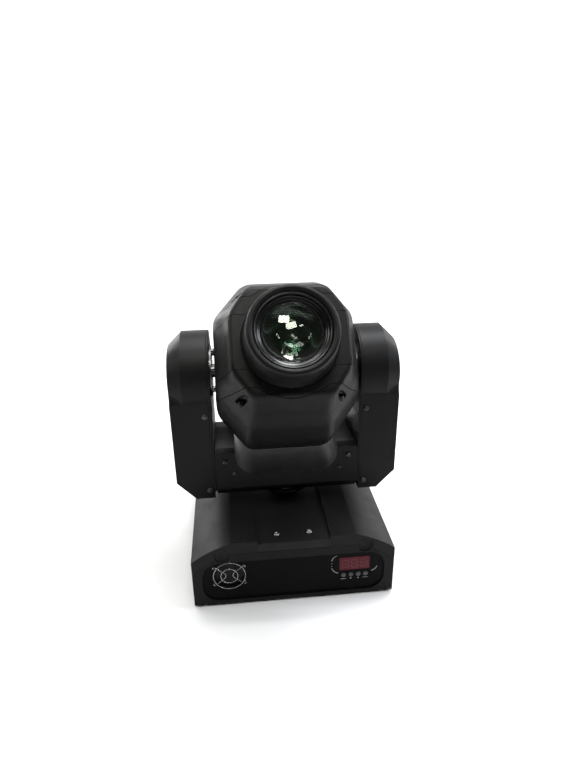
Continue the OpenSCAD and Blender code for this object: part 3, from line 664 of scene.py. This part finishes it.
rotor("base_fan_blades", 17.6, 8.5, 6.8, 7, 0.85, facing_rear(FAN[0], PANEL_BACK + 0.8, FAN[1]), "base_fan",
      "base_fan_rotor")
rotor("head_fan_blades", 35.5, 15, 11, 7, 0.8, HEAD @ facing_rear(0, 71, 0), "head_fan", "head_fan_rotor")

deck_top = COVER_TOP - 4
deck_places = [((sx * 20, sy * 107, deck_top), (0, 0, 1), 1.1) for sx in (-1, 1) for sy in (-1, 1)]
screws("deck_screw_set", deck_places, "base", "bright_screw", "deck_screw", "deck_screws")


# ---------------------------------------------------------------- yoke
def arm_outline(n=72):
    """The arm from the side: a block with a drum on top."""
    crease = TILT_Z - math.sqrt(DRUM_R ** 2 - ARM_HALF ** 2)
    a0 = math.atan2(crease - TILT_Z, ARM_HALF)
    sweep = math.pi - 2 * a0
    pts = [(-ARM_HALF, ARM_BOTTOM), (ARM_HALF, ARM_BOTTOM)]
    for k in range(n + 1):
        t = a0 + sweep * k / n
        pts.append((DRUM_R * math.cos(t), TILT_Z + DRUM_R * math.sin(t)))
    return pts


def arm_section(x, inset, n=64):
    """The arm's outline at a distance from the middle. The drum's bevel narrows down to the crease."""
    t = max(0.0, (x + inset - 124.5) / 17.0)
    floor = ARM_BOTTOM + inset + max(0.0, x + inset - 118.0) * 25 / 23.5
    half = ARM_HALF - inset
    end = math.radians(113.8 - 7.8 * t)

    def drum(angle):
        lean = min(1.0, abs(angle) / math.radians(110))
        return DRUM_R - inset - t * (17.0 - 8.5 * lean * lean * (3 - 2 * lean))
    edge = Vector((drum(end) * math.sin(end), TILT_Z + drum(end) * math.cos(end)))
    foot = Vector((half, 238.8 - 3.4 * t - inset))
    bend = Vector((edge.x + 0.25 * (foot.x - edge.x), foot.y + 0.2 * (edge.y - foot.y)))
    right = [foot.lerp(bend, k / 6).lerp(bend.lerp(edge, k / 6), k / 6) for k in range(7)]
    top = [(drum(a) * math.sin(a), TILT_Z + drum(a) * math.cos(a)) for a in
           (end * (1 - 2 * k / n) for k in range(1, n))]
    return ([(-half, floor), (half, floor)] + [(p.x, p.y) for p in right] + top
            + [(-p.x, p.y) for p in reversed(right)])


def arm_shell(name, s):
    """One closed skin: the outer face in steps along X, back through the hollow, joined round the seam."""
    outer = [ARM_IN + 2.6, 110, 118, 124.5, 127, 129.5, 132, 134.5, 137, 139.5, ARM_OUT]
    inner = [ARM_OUT - WALL, 136, 133, 130, 127, 124, 121.5, 115, 108, ARM_IN + 2.6]
    bm = bmesh.new()
    rings = [[bm.verts.new((s * px, y, z)) for y, z in arm_section(px, inset)]
             for row, inset in ((outer, 0), (inner, WALL)) for px in row]
    for p, q in zip(rings, rings[1:] + rings[:1]):
        if p is rings[len(outer) - 1]:
            continue
        for k in range(len(p)):
            bm.faces.new((p[k], p[(k + 1) % len(p)], q[(k + 1) % len(q)], q[k]))
    bm.faces.new(rings[len(outer) - 1])
    bm.faces.new(rings[len(outer)][::-1])
    return obj_of(name, bm, "black_abs")


def inner_cover(name, s):
    """The plate on the head's side of an arm, open round the hub and 10 mm short at its foot."""
    plate = prism(name, arm_outline(), "x", *sorted((s * ARM_IN, s * (ARM_IN + 2.5))), "black_abs")
    cut(plate, ("-", cyl("t", 34, "x", -150, 150, (0, TILT_Z))),
        ("-", box("t", (-150, -60, 90), (150, 60, ARM_BOTTOM + 10))))
    return soften(plate, 0.7)


for s, tag in ((-1, "left"), (1, "right")):
    put(soften(arm_shell("arm_cover_" + tag, s), 1.3, 3, 21.0), "yoke", "black_abs", tag + "_arm_cover")
    put(inner_cover("arm_inner_cover_" + tag, s), "yoke", "black_abs", tag + "_inner_cover")

arm_places = [((sx * ax, sy * ARM_HALF, az), (0, sy, 0), 1.0) for sx in (-1, 1) for sy in (-1, 1)
              for ax, az in ARM_SCREWS]
screws("arm_screw_set", arm_places, "yoke", "bright_screw", "bright_screw", "arm_screws")


def bridge_outline(inset):
    """The bridge from the front, with a rounded saddle under the head. The hollow's inset draws it in."""
    bottom, top, r = 101.0, 134.0, 28.0
    shoulder = 158.0 if inset else 166.0
    end = ARM_IN + 1 if inset else ARM_IN
    half = [(end, bottom + inset), (end, shoulder), (66 + inset, shoulder)]
    saddle = [math.radians(a) for a in range(0, 91, 6)]
    half += [(38 + (r + inset) * math.cos(a), top + r - (r + inset) * math.sin(a)) for a in saddle]
    return half + [(-px, pz) for px, pz in reversed(half)]


def bridge_cover(name, s):
    """One half of the bridge, leaning back towards its top and hollow inside; s is 1 for the front."""
    ob = prism(name, bridge_outline(0), "y", *sorted((-s * 48, -s * 0.1)), "black_abs")
    rise = [(-s * 48 + s * 3 * k / 10, 116 + 5.6 * k) for k in range(11)]
    lean = [(0, 90), (-s * 32, 98)] + rise + [(0, 176)]
    under = [(-s * 60, 90), (-s * 29, 90), (-s * 29, 104), (-s * 42, 118), (-s * 60, 118)]
    hollow = prism("t", bridge_outline(WALL), "y", *sorted((-s * 42, s * 1)))
    cut(hollow, ("-", prism("t", under, "x", -95, 95)))
    head_swing = cyl("t", 100, "x", -92, 92, (0, TILT_Z), 192)
    pan_tube = cyl("t", 37, "z", 90, 108)
    cut(ob, ("&", prism("t", lean, "x", -92, 92)), ("-", hollow), ("-", head_swing), ("-", pan_tube))
    return soften(ob, 1.6, 4)


for s, tag in ((1, "front"), (-1, "rear")):
    put(bridge_cover("bridge_cover_" + tag, s), "yoke", "black_abs", tag + "_bridge_cover")

bridge_places = [((sx * px, sy * py, pz), (0, sy, 0.05), size) for px, py, pz, size in
                 ((79, 47.0, 154, 0.9), (67.5, 47.6, 137.6, 0.7)) for sx in (-1, 1) for sy in (-1, 1)]
screws("bridge_screw_set", bridge_places, "yoke", "bright_screw", "bright_screw")

COLLAR = [(21.2, 90.5), (30, 90.5), (34, 92.0), (41, 99.6), (42, 100.4), (42, 101.6), (40.5, 101.9),
          (36.6, 101.9), (36.6, 98.6), (21.2, 98.6)]
put(lathe("pan_dust_collar", COLLAR, "black_rubber", 96), "yoke", "black_rubber")


# ---------------------------------------------------------------- head
def spline(f):
    """Width, height and corner cuts at a distance along the lens axis, smooth through the stations."""
    k = max(0, min(len(STATIONS) - 2, sum(1 for st in STATIONS if st[0] <= f) - 1))
    p1, p2 = STATIONS[k], STATIONS[k + 1]
    p0 = STATIONS[max(k - 1, 0)]
    p3 = STATIONS[min(k + 2, len(STATIONS) - 1)]
    t = (f - p1[0]) / (p2[0] - p1[0])
    out = []
    for i in range(1, 5):
        m1 = (p2[i] - p0[i]) / max(p2[0] - p0[0], 1) * (p2[0] - p1[0]) * 0.8
        m2 = (p3[i] - p1[i]) / max(p3[0] - p1[0], 1) * (p2[0] - p1[0]) * 0.8
        out.append((2 * t ** 3 - 3 * t ** 2 + 1) * p1[i] + (t ** 3 - 2 * t ** 2 + t) * m1
                   + (3 * t ** 2 - 2 * t ** 3) * p2[i] + (t ** 3 - t ** 2) * m2)
    return out


def head_ring(f, inset, corner=9.0):
    """The head's octagon at one station. Its top is 4 mm lower than its bottom is deep, over the middle."""
    w, h, cx, cz = spline(f)
    w, h = w - inset, h - inset
    top = h - 4.0 * max(0.0, math.cos(math.radians(90 * (f - 20) / 95))) if -75 < f < 115 else h
    base = [(w, -(h - cz)), (w, h - cz), (w - cx, top), (-(w - cx), top), (-w, h - cz), (-w, -(h - cz)),
            (-(w - cx), -h), (w - cx, -h)]
    pts = []
    for i, p in enumerate(base):
        a, b, c = Vector(base[i - 1]), Vector(p), Vector(base[(i + 1) % 8])
        d = min(corner, (a - b).length * 0.4, (c - b).length * 0.4)
        p0, p2 = b + (a - b).normalized() * d, b + (c - b).normalized() * d
        for k in range(6):
            t = k / 5
            pts.append(p0.lerp(b, t).lerp(b.lerp(p2, t), t))
    return pts


def head_solid(name, inset):
    """The head lofted from rear to front, with a small rounding at each end."""
    first, last = -100 + inset, HEAD_FACE - inset
    edge = 3.5 if not inset else 1.0
    rows = [(first, inset + edge), (first + 0.3 * edge, inset + 0.35 * edge), (first + edge, inset)]
    n = 44
    rows += [(first + edge + (last - first - 2 * edge) * k / n, inset) for k in range(1, n)]
    rows += [(last - edge, inset), (last - 0.3 * edge, inset + 0.35 * edge), (last, inset + edge)]
    bm = bmesh.new()
    rings = []
    for f, ins in rows:
        rings.append([bm.verts.new((p.x, -f, p.y)) for p in head_ring(f, ins)])
    for p, q in zip(rings, rings[1:]):
        for k in range(len(p)):
            bm.faces.new((p[k], p[(k + 1) % len(p)], q[(k + 1) % len(p)], q[k]))
    bm.faces.new(rings[0][::-1])
    bm.faces.new(rings[-1])
    return obj_of(name, bm, None)


def slab(half, arc_r, gap):
    """The zone of the head between two heights, with an arc round the ring; gap draws its edges in."""
    h, r = half + gap, arc_r + gap
    meet = math.sqrt(r * r - h * h)
    first = math.atan2(h, meet)
    angles = [first + (math.pi - 2 * first) * k / 40 for k in range(41)]
    top = [(120, h)] + [(r * math.cos(t), r * math.sin(t)) for t in angles] + [(-120, h)]
    pts = top + [(-px, -pz) for px, pz in top]
    front_part = prism("t", pts, "y", -HEAD_FACE - 3, -95)
    flat = box("t", (-120, -96, -h), (120, HEAD_REAR_CUT - 0.25, h))
    return cut(front_part, ("+", flat))


shell = cut(head_solid("head_solid", 0), ("-", head_solid("head_hollow", WALL)))


def head_piece(name, width, *ops):
    """A piece of the head's shell: cut in the head's own frame, softened, then set in place."""
    ob = copy_of(shell)
    ob.name = name
    ob.data.name = name
    cut(ob, *ops)
    soften(ob, width, 2, 40.0)
    ob.data.materials.clear()
    ob.data.materials.append(M["head_abs"])
    ob.data.transform(Matrix.Translation(HEAD.translation * MM) @ HEAD.to_3x3().to_4x4())
    return ob


mid = head_piece("head_front_shell_skin", 0.5, ("&", slab(LOW, ARC_LOW, -GAP)),
                 ("-", cyl("t", 41.2, "y", -HEAD_FACE - 5, -90)), ("-", cyl("t", 6, "x", -90, 90)))
put(mid, "head", "head_abs", "head_front_shell")
band = head_piece("head_band_skin", 0.5, ("&", slab(HIGH, ARC_HIGH, -GAP)), ("-", slab(LOW, ARC_LOW, GAP)))
put(band, "head", "head_abs", "head_bands")


def pocket(px, pf, pu, r, depth=32):
    """An oval shaft along the lens axis, for a screw pocket in a cover's corner."""
    return lathe("t", [(0, -depth / 2), (r, -depth / 2), (r, depth / 2), (0, depth / 2)], None, 40,
                 Matrix.Translation((px, -pf, pu)) @ Matrix.Rotation(math.pi / 2, 4, "X")
                 @ Matrix.Diagonal((1.35, 0.8, 1, 1)), False)


def pocket_lining(tag, sign):
    """Cups that line one cover's screw pockets, so that the hollow head doesn't show through them."""
    cups = []
    for px in (-PIT[0], PIT[0]):
        cup = cut(pocket(px, 100, sign * PIT[1], 6.8, 34), ("-", pocket(px, 104, sign * PIT[1], 5.5, 34)),
                  ("&", head_solid("t", 2.2)))
        cup.data.transform(Matrix.Translation(HEAD.translation * MM) @ HEAD.to_3x3().to_4x4())
        cups.append(cup)
    return put(joined("screw_pockets_" + tag, cups, "head_abs"), "head", "head_abs")


for sign, tag in ((-1, "lower"), (1, "upper")):
    keep = box("t", (-120, -HEAD_FACE - 3, 0), (120, HEAD_REAR_CUT - 0.25, 130))
    if sign < 0:
        keep.data.transform(Matrix.Scale(-1, 4, (0, 0, 1)))
        keep.data.flip_normals()
    cover = head_piece("head_cover_" + tag, 0.6, ("&", keep), ("-", slab(HIGH, ARC_HIGH, GAP)),
                       *[("-", pocket(px, 104, sign * PIT[1], 5.6)) for px in (-PIT[0], PIT[0])])
    put(cover, "head", "head_abs", "head_%s_cover" % tag)
    pocket_lining(tag, sign)


def rear_grille():
    """The head's rear end, with a row of slots."""
    slots = [("-", prism("t", round_rect(-34, i * 7.5 - 1.9, 34, i * 7.5 + 1.9, 1.8, 6), "y", 90, 105))
             for i in range(-5, 6)]
    rear = box("t", (-120, HEAD_REAR_CUT + 0.25, -130), (120, 130, 130))
    put(head_piece("head_rear_skin", 0.6, ("&", rear), *slots), "head", "head_abs", "head_rear_grille")


rear_grille()
bpy.data.objects.remove(shell)


# ---------------------------------------------------------------- optics
# Profiles are (radius, distance along the lens axis).
TO_LENS = HEAD @ Matrix.Rotation(math.pi / 2, 4, "X")
RING = [(41.0, 122), (53.8, 122), (53.6, 126), (52.4, 128.5), (51.3, 132), (50.3, 139), (49.5, 147),
        (48.9, 154), (48.5, 159), (48.2, 161.4), (47.4, 163.4), (46.0, 164.6), (44.2, 164.9), (42.4, 164.3),
        (41.3, 163.2), (40.9, 162.2), (40.8, 160.4)]
BEZEL = [(40.6, 140), (40.6, 160.6), (40.0, 161.4), (39.2, 161.5), (38.3, 160.9), (37.7, 159.7),
         (37.2, 158.0), (36.6, 157.0), (35.6, 156.3), (34.6, 155.9), (33.9, 155.5), (33.5, 154.8),
         (33.2, 153.9), (32.6, 153.5), (32.6, 149.5), (31.6, 148.5), (31.6, 140)]
put(lathe("front_ring_skin", RING, "head_abs", 160, TO_LENS), "head", "head_abs")
put(lathe("lens_bezel_skin", BEZEL, "gloss_black", 160, TO_LENS), "head", "gloss_black", "lens_bezel")


def dome(r, radius, top, n=14):
    """A face that bulges towards the front, from its middle out to its rim."""
    return [(r * k / n, top - dish(r * k / n, radius)) for k in range(n + 1)]


def dish(r, radius):
    """How far a sphere's face falls away at a distance from its middle."""
    return radius - math.sqrt(radius * radius - r * r)


def hollow_face(r, radius, low, n):
    """A face that is sunk in the middle, from its middle out to its rim."""
    return [(r * k / n, low + dish(r * k / n, radius)) for k in range(n + 1)]


front_face = dome(32.5, 120, 157.2) + [(32.5, 150.2)]
glass = lathe("front_lens_glass", front_face + hollow_face(32.5, 60, 140.6, 12)[::-1], "coated_glass", 128,
              TO_LENS, False)
put(glass, "head", "coated_glass", "front_lens")

ribs = [p for k in range(9) for p in ((31.6 - 0.5 * k, 145.5 - 4 * k), (30.6 - 0.5 * k, 144.0 - 4 * k),
                                      (30.8 - 0.5 * k, 142.2 - 4 * k))]
baffle = lathe("lens_baffle", [(32.4, 146.5)] + ribs + [(26, 108), (38, 108), (38, 139), (32.4, 139)],
               "black_rubber", 96, TO_LENS)
put(baffle, "head", "gloss_black")

second_faces = hollow_face(27.9, 170, 129.0, 9) + [(27.9, 123)] + hollow_face(27.9, 80, 118, 9)[::-1]
second = lathe("second_lens", second_faces, "green_coat", 96, TO_LENS, False)
put(second, "head", "coated_glass")
third = lathe("third_lens", dome(25, 70, 112) + [(25, 104), (0, 104)], "amber_coat", 96, TO_LENS, False)
put(third, "head", "coated_glass")

STOP = [(27, 103.7), (12, 103.7), (12, 102.5), (27, 102.5)]
put(lathe("aperture_stop", STOP, "black_rubber", 64, TO_LENS), "head", "gloss_black")


def hub_screws():
    places = []
    for s in (-1, 1):
        for a in range(10, 311, 60):
            t = math.radians(a - REST_TILT)
            places.append(((s * 92.4, 27 * math.cos(t), TILT_Z + 27 * math.sin(t)), (s, 0, 0), 0.85))
    return places


screws("hub_screw_set", hub_screws(), "head", "bright_screw", "bright_screw")


def on_head(px, pf, pu, normal, size):
    """A screw's place, given in the head's frame."""
    return (tuple(HEAD @ Vector((px, -pf, pu))), tuple(HEAD.to_3x3() @ Vector(normal)), size)


cover_places = [on_head(px, 87.2, s * PIT[1], (0, -1, 0), 1.0) for px in (-PIT[0], PIT[0]) for s in (-1, 1)]
rear_places = [on_head(s * 50, -99.6, v * 28, (0, 1, 0), 0.9) for s in (-1, 1) for v in (-1, 1)]
screws("head_screw_set", cover_places + rear_places, "head", "bright_screw", "bright_screw")


# ---------------------------------------------------------------- rear sockets
def inlet_blades():
    blades = []
    for px, pz in ((-92, 36.5), (-78, 36.5), (-85, 40.5)):
        outline = round_rect(px - 2, pz - 0.9, px + 2, pz + 0.9, 0.5, 4)
        blades.append(prism("p", outline, "y", REAR_Y - 13.5, REAR_Y - 2))
    return joined("inlet_blades", blades, "bright_wire")


def data_pins(r=1.1, length=9.5):
    profile = [(0, 0), (r, 0), (r, length - 0.6), (r - 0.4, length), (0, length)]
    parts = []
    for cx in (25, 65):
        for t in (0.5, 2.64, 4.71):
            place = facing_rear(cx + 4.6 * math.cos(t), REAR_Y - 12.5, 38 + 4.6 * math.sin(t))
            parts.append(lathe("p", profile, None, 24, place, False))
    return joined("data_pins", parts, "bright_wire")


put(inlet_blades(), "base", "bright_wire")
put(data_pins(), "base", "bright_wire")

# ---------------------------------------------------------------- CAD nodes that stay
for sub in frame["record"]["subparts"]:
    ob = frame["nodes"][sub["node"]]
    ob.data.materials.clear()
    ob.data.materials.append(M[sub["material_slot"]])

# ---------------------------------------------------------------- floor, light and camera
M["floor"] = surface("pale floor", grey(0.64), grey(0.68), 0.6, 0.05, 0.02, 300, patch_scale=2.0)


def floor_sheet(half_width=9.0, front_edge=-4.0, sweep_at=2.4, sweep_r=0.9, wall_top=3.5):
    """A floor that sweeps up into a wall behind the light, in metres."""
    z = FLOOR_Z * MM
    rows = [(front_edge, z), (sweep_at, z)]
    for k in range(1, 11):
        t = math.radians(9 * k)
        rows.append((sweep_at + sweep_r * math.sin(t), z + sweep_r * (1 - math.cos(t))))
    rows.append((sweep_at + sweep_r, wall_top))
    bm = bmesh.new()
    left, right = [[bm.verts.new((px / MM, fy / MM, fz / MM)) for fy, fz in rows]
                   for px in (-half_width, half_width)]
    for i in range(len(rows) - 1):
        bm.faces.new((left[i], right[i], right[i + 1], left[i + 1]))
    return obj_of("floor", bm, "floor")


floor_sheet()


def studio_world():
    """A dim room in front of the object and a white one behind it."""
    world = bpy.data.worlds.new("studio")
    bpy.context.scene.world = world
    world.use_nodes = True
    nt = world.node_tree
    split = add(nt, "ShaderNodeSeparateXYZ")
    nt.links.new(add(nt, "ShaderNodeTexCoord").outputs["Generated"], split.inputs["Vector"])
    nt.links.new(ramp(nt, split.outputs["Y"], [(0.1, grey(0.095)), (0.6, grey(1.0))]),
                 nt.nodes["Background"].inputs["Color"])


studio_world()


def softbox(name, at, to, size, power, colour=(1, 1, 1)):
    data = bpy.data.lights.new(name, "AREA")
    data.shape = "RECTANGLE"
    data.size, data.size_y = size
    data.energy = power
    data.color = colour
    ob = bpy.data.objects.new(name, data)
    ob.location = at
    ob.visible_camera = False
    ob.rotation_euler = (Vector(to) - Vector(at)).to_track_quat("-Z", "Y").to_euler()
    bpy.context.scene.collection.objects.link(ob)


softbox("ceiling", (-0.064, -0.734, 1.72), (0, -0.127, 0.35), (0.285, 0.22), 9, (1, 0.98, 0.93))
softbox("ceiling_two", (0.11, -0.914, 1.62), (0, -0.127, 0.35), (0.28, 0.19), 6, (1, 1, 0.9))
softbox("ceiling_three", (0.39, -0.894, 1.58), (0, -0.127, 0.35), (0.11, 0.05), 0.5)
softbox("top", (-0.1, 0.3, 1.7), (0, 0.1, 0.1), (1.1, 0.9), 26)
softbox("overhead_right", (0.36, 0.1, 1.6), (0.1, 0, 0.2), (0.5, 0.45), 26, (0.93, 0.95, 1.0))
softbox("rim_left", (-0.95, 1.35, 0.5), (-0.1, 0, 0.36), (0.6, 0.4), 8)
softbox("rim_right", (1.25, 0.95, 0.6), (0.1, 0, 0.25), (0.5, 0.6), 5)
softbox("window_left", (-1.5, -0.1, 1.3), (0, 0, 0.25), (0.4, 0.7), 15, (1, 0.99, 0.96))
softbox("window_right", (1.4, -0.25, 1.2), (0, 0, 0.25), (0.35, 0.6), 24, (0.86, 0.9, 1.0))
softbox("backdrop", (0, 0.9, 2.8), (0, 3.3, 0.9), (8.0, 0.8), 400)

def aim_camera(at, azimuth, elevation, roll, lens):
    """The camera looks down by the elevation and to the right by the azimuth, in degrees."""
    az, el, roll = math.radians(azimuth), math.radians(elevation), math.radians(roll)
    forward = Vector((math.sin(az) * math.cos(el), math.cos(az) * math.cos(el), -math.sin(el)))
    data = bpy.data.cameras.new("camera")
    data.lens = lens
    data.sensor_width = 36
    cam = bpy.data.objects.new("camera", data)
    cam.location = at
    cam.rotation_mode = "QUATERNION"
    turn = Matrix.Rotation(roll, 4, "Z").to_quaternion()
    cam.rotation_quaternion = forward.to_track_quat("-Z", "Y") @ turn
    bpy.context.scene.collection.objects.link(cam)
    bpy.context.scene.camera = cam


aim_camera((-0.0601, -0.674, 0.5282), 5.68, 23.24, -0.72, 26.7)
bpy.context.scene.view_settings.view_transform = "Standard"
bpy.context.scene.view_settings.exposure = -0.6
